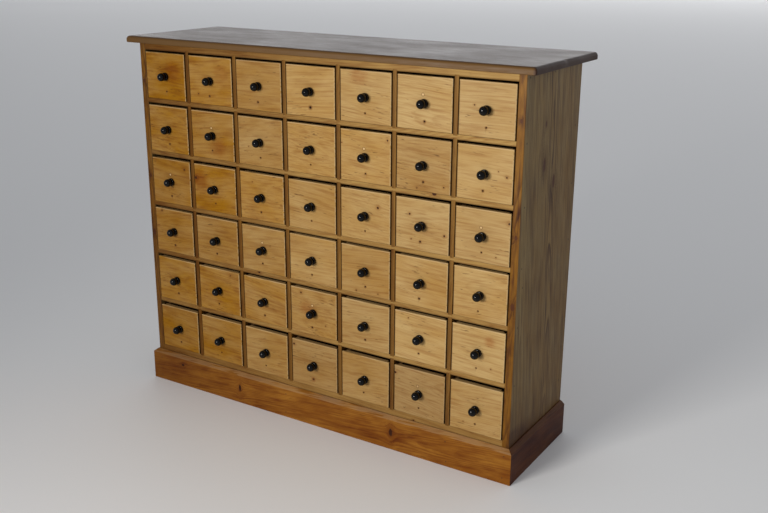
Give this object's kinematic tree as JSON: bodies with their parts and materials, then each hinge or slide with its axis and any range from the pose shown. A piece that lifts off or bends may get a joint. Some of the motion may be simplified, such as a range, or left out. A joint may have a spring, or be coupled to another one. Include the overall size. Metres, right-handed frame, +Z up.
{
  "type": "seed storage cabinet",
  "caption": "Floor-standing pine seed cabinet: a grid of small inset drawers with black turned knobs, in a board case with an overhanging round-edged top and a bevelled plinth.",
  "frame": {"origin": "middle of the whole object's box, on the floor", "axes": "+Z up, +X along the width, -Y the way the drawers open"},
  "size_m": [1.366, 0.4232, 1.1435],
  "materials": {
    "pine_fronts": "waxed honey-coloured pine, satin",
    "pine_case": "stained pine, worn satin",
    "pine_top": "waxed pine, worn smooth",
    "pine_plinth": "stained pine, worn satin",
    "pine_back": "unfinished pine",
    "knob_black": "black gloss paint",
    "nail_iron": "dark rusted iron"
  },
  "bodies": {
    "case": {"top_board": "pine_top", "side_left": "pine_case", "side_right": "pine_case", "case_top": "pine_case", "case_bottom": "pine_case", "shelf_1": "pine_case", "shelf_2": "pine_case", "shelf_3": "pine_case", "shelf_4": "pine_case", "shelf_5": "pine_case", "partitions": "pine_case", "back_boards": "pine_back", "plinth_front": "pine_plinth", "plinth_left": "pine_plinth", "plinth_right": "pine_plinth", "glue_blocks": "pine_back"},
    "drawer_r1_c1": {"drawer_r1_c1": "pine_fronts"},
    "drawer_r1_c2": {"drawer_r1_c2": "pine_fronts"},
    "drawer_r1_c3": {"drawer_r1_c3": "pine_fronts"},
    "drawer_r1_c4": {"drawer_r1_c4": "pine_fronts"},
    "drawer_r1_c5": {"drawer_r1_c5": "pine_fronts"},
    "drawer_r1_c6": {"drawer_r1_c6": "pine_fronts"},
    "drawer_r1_c7": {"drawer_r1_c7": "pine_fronts"},
    "drawer_r2_c1": {"drawer_r2_c1": "pine_fronts"},
    "drawer_r2_c2": {"drawer_r2_c2": "pine_fronts"},
    "drawer_r2_c3": {"drawer_r2_c3": "pine_fronts"},
    "drawer_r2_c4": {"drawer_r2_c4": "pine_fronts"},
    "drawer_r2_c5": {"drawer_r2_c5": "pine_fronts"},
    "drawer_r2_c6": {"drawer_r2_c6": "pine_fronts"},
    "drawer_r2_c7": {"drawer_r2_c7": "pine_fronts"},
    "drawer_r3_c1": {"drawer_r3_c1": "pine_fronts"},
    "drawer_r3_c2": {"drawer_r3_c2": "pine_fronts"},
    "drawer_r3_c3": {"drawer_r3_c3": "pine_fronts"},
    "drawer_r3_c4": {"drawer_r3_c4": "pine_fronts"},
    "drawer_r3_c5": {"drawer_r3_c5": "pine_fronts"},
    "drawer_r3_c6": {"drawer_r3_c6": "pine_fronts"},
    "drawer_r3_c7": {"drawer_r3_c7": "pine_fronts"},
    "drawer_r4_c1": {"drawer_r4_c1": "pine_fronts"},
    "drawer_r4_c2": {"drawer_r4_c2": "pine_fronts"},
    "drawer_r4_c3": {"drawer_r4_c3": "pine_fronts"},
    "drawer_r4_c4": {"drawer_r4_c4": "pine_fronts"},
    "drawer_r4_c5": {"drawer_r4_c5": "pine_fronts"},
    "drawer_r4_c6": {"drawer_r4_c6": "pine_fronts"},
    "drawer_r4_c7": {"drawer_r4_c7": "pine_fronts"},
    "drawer_r5_c1": {"drawer_r5_c1": "pine_fronts"},
    "drawer_r5_c2": {"drawer_r5_c2": "pine_fronts"},
    "drawer_r5_c3": {"drawer_r5_c3": "pine_fronts"},
    "drawer_r5_c4": {"drawer_r5_c4": "pine_fronts"},
    "drawer_r5_c5": {"drawer_r5_c5": "pine_fronts"},
    "drawer_r5_c6": {"drawer_r5_c6": "pine_fronts"},
    "drawer_r5_c7": {"drawer_r5_c7": "pine_fronts"},
    "drawer_r6_c1": {"drawer_r6_c1": "pine_fronts"},
    "drawer_r6_c2": {"drawer_r6_c2": "pine_fronts"},
    "drawer_r6_c3": {"drawer_r6_c3": "pine_fronts"},
    "drawer_r6_c4": {"drawer_r6_c4": "pine_fronts"},
    "drawer_r6_c5": {"drawer_r6_c5": "pine_fronts"},
    "drawer_r6_c6": {"drawer_r6_c6": "pine_fronts"},
    "drawer_r6_c7": {"drawer_r6_c7": "pine_fronts"}
  },
  "joints": [
    {"name": "slide_r1_c1", "type": "slide", "parent": "case", "child": "drawer_r1_c1", "axis": [0, -1, 0], "range_m": [0, 0.25]},
    {"name": "slide_r1_c2", "type": "slide", "parent": "case", "child": "drawer_r1_c2", "axis": [0, -1, 0], "range_m": [0, 0.25]},
    {"name": "slide_r1_c3", "type": "slide", "parent": "case", "child": "drawer_r1_c3", "axis": [0, -1, 0], "range_m": [0, 0.25]},
    {"name": "slide_r1_c4", "type": "slide", "parent": "case", "child": "drawer_r1_c4", "axis": [0, -1, 0], "range_m": [0, 0.25]},
    {"name": "slide_r1_c5", "type": "slide", "parent": "case", "child": "drawer_r1_c5", "axis": [0, -1, 0], "range_m": [0, 0.25]},
    {"name": "slide_r1_c6", "type": "slide", "parent": "case", "child": "drawer_r1_c6", "axis": [0, -1, 0], "range_m": [0, 0.25]},
    {"name": "slide_r1_c7", "type": "slide", "parent": "case", "child": "drawer_r1_c7", "axis": [0, -1, 0], "range_m": [0, 0.25]},
    {"name": "slide_r2_c1", "type": "slide", "parent": "case", "child": "drawer_r2_c1", "axis": [0, -1, 0], "range_m": [0, 0.25]},
    {"name": "slide_r2_c2", "type": "slide", "parent": "case", "child": "drawer_r2_c2", "axis": [0, -1, 0], "range_m": [0, 0.25]},
    {"name": "slide_r2_c3", "type": "slide", "parent": "case", "child": "drawer_r2_c3", "axis": [0, -1, 0], "range_m": [0, 0.25]},
    {"name": "slide_r2_c4", "type": "slide", "parent": "case", "child": "drawer_r2_c4", "axis": [0, -1, 0], "range_m": [0, 0.25]},
    {"name": "slide_r2_c5", "type": "slide", "parent": "case", "child": "drawer_r2_c5", "axis": [0, -1, 0], "range_m": [0, 0.25]},
    {"name": "slide_r2_c6", "type": "slide", "parent": "case", "child": "drawer_r2_c6", "axis": [0, -1, 0], "range_m": [0, 0.25]},
    {"name": "slide_r2_c7", "type": "slide", "parent": "case", "child": "drawer_r2_c7", "axis": [0, -1, 0], "range_m": [0, 0.25]},
    {"name": "slide_r3_c1", "type": "slide", "parent": "case", "child": "drawer_r3_c1", "axis": [0, -1, 0], "range_m": [0, 0.25]},
    {"name": "slide_r3_c2", "type": "slide", "parent": "case", "child": "drawer_r3_c2", "axis": [0, -1, 0], "range_m": [0, 0.25]},
    {"name": "slide_r3_c3", "type": "slide", "parent": "case", "child": "drawer_r3_c3", "axis": [0, -1, 0], "range_m": [0, 0.25]},
    {"name": "slide_r3_c4", "type": "slide", "parent": "case", "child": "drawer_r3_c4", "axis": [0, -1, 0], "range_m": [0, 0.25]},
    {"name": "slide_r3_c5", "type": "slide", "parent": "case", "child": "drawer_r3_c5", "axis": [0, -1, 0], "range_m": [0, 0.25]},
    {"name": "slide_r3_c6", "type": "slide", "parent": "case", "child": "drawer_r3_c6", "axis": [0, -1, 0], "range_m": [0, 0.25]},
    {"name": "slide_r3_c7", "type": "slide", "parent": "case", "child": "drawer_r3_c7", "axis": [0, -1, 0], "range_m": [0, 0.25]},
    {"name": "slide_r4_c1", "type": "slide", "parent": "case", "child": "drawer_r4_c1", "axis": [0, -1, 0], "range_m": [0, 0.25]},
    {"name": "slide_r4_c2", "type": "slide", "parent": "case", "child": "drawer_r4_c2", "axis": [0, -1, 0], "range_m": [0, 0.25]},
    {"name": "slide_r4_c3", "type": "slide", "parent": "case", "child": "drawer_r4_c3", "axis": [0, -1, 0], "range_m": [0, 0.25]},
    {"name": "slide_r4_c4", "type": "slide", "parent": "case", "child": "drawer_r4_c4", "axis": [0, -1, 0], "range_m": [0, 0.25]},
    {"name": "slide_r4_c5", "type": "slide", "parent": "case", "child": "drawer_r4_c5", "axis": [0, -1, 0], "range_m": [0, 0.25]},
    {"name": "slide_r4_c6", "type": "slide", "parent": "case", "child": "drawer_r4_c6", "axis": [0, -1, 0], "range_m": [0, 0.25]},
    {"name": "slide_r4_c7", "type": "slide", "parent": "case", "child": "drawer_r4_c7", "axis": [0, -1, 0], "range_m": [0, 0.25]},
    {"name": "slide_r5_c1", "type": "slide", "parent": "case", "child": "drawer_r5_c1", "axis": [0, -1, 0], "range_m": [0, 0.25]},
    {"name": "slide_r5_c2", "type": "slide", "parent": "case", "child": "drawer_r5_c2", "axis": [0, -1, 0], "range_m": [0, 0.25]},
    {"name": "slide_r5_c3", "type": "slide", "parent": "case", "child": "drawer_r5_c3", "axis": [0, -1, 0], "range_m": [0, 0.25]},
    {"name": "slide_r5_c4", "type": "slide", "parent": "case", "child": "drawer_r5_c4", "axis": [0, -1, 0], "range_m": [0, 0.25]},
    {"name": "slide_r5_c5", "type": "slide", "parent": "case", "child": "drawer_r5_c5", "axis": [0, -1, 0], "range_m": [0, 0.25]},
    {"name": "slide_r5_c6", "type": "slide", "parent": "case", "child": "drawer_r5_c6", "axis": [0, -1, 0], "range_m": [0, 0.25]},
    {"name": "slide_r5_c7", "type": "slide", "parent": "case", "child": "drawer_r5_c7", "axis": [0, -1, 0], "range_m": [0, 0.25]},
    {"name": "slide_r6_c1", "type": "slide", "parent": "case", "child": "drawer_r6_c1", "axis": [0, -1, 0], "range_m": [0, 0.25]},
    {"name": "slide_r6_c2", "type": "slide", "parent": "case", "child": "drawer_r6_c2", "axis": [0, -1, 0], "range_m": [0, 0.25]},
    {"name": "slide_r6_c3", "type": "slide", "parent": "case", "child": "drawer_r6_c3", "axis": [0, -1, 0], "range_m": [0, 0.25]},
    {"name": "slide_r6_c4", "type": "slide", "parent": "case", "child": "drawer_r6_c4", "axis": [0, -1, 0], "range_m": [0, 0.25]},
    {"name": "slide_r6_c5", "type": "slide", "parent": "case", "child": "drawer_r6_c5", "axis": [0, -1, 0], "range_m": [0, 0.25]},
    {"name": "slide_r6_c6", "type": "slide", "parent": "case", "child": "drawer_r6_c6", "axis": [0, -1, 0], "range_m": [0, 0.25]},
    {"name": "slide_r6_c7", "type": "slide", "parent": "case", "child": "drawer_r6_c7", "axis": [0, -1, 0], "range_m": [0, 0.25]}
  ]
}
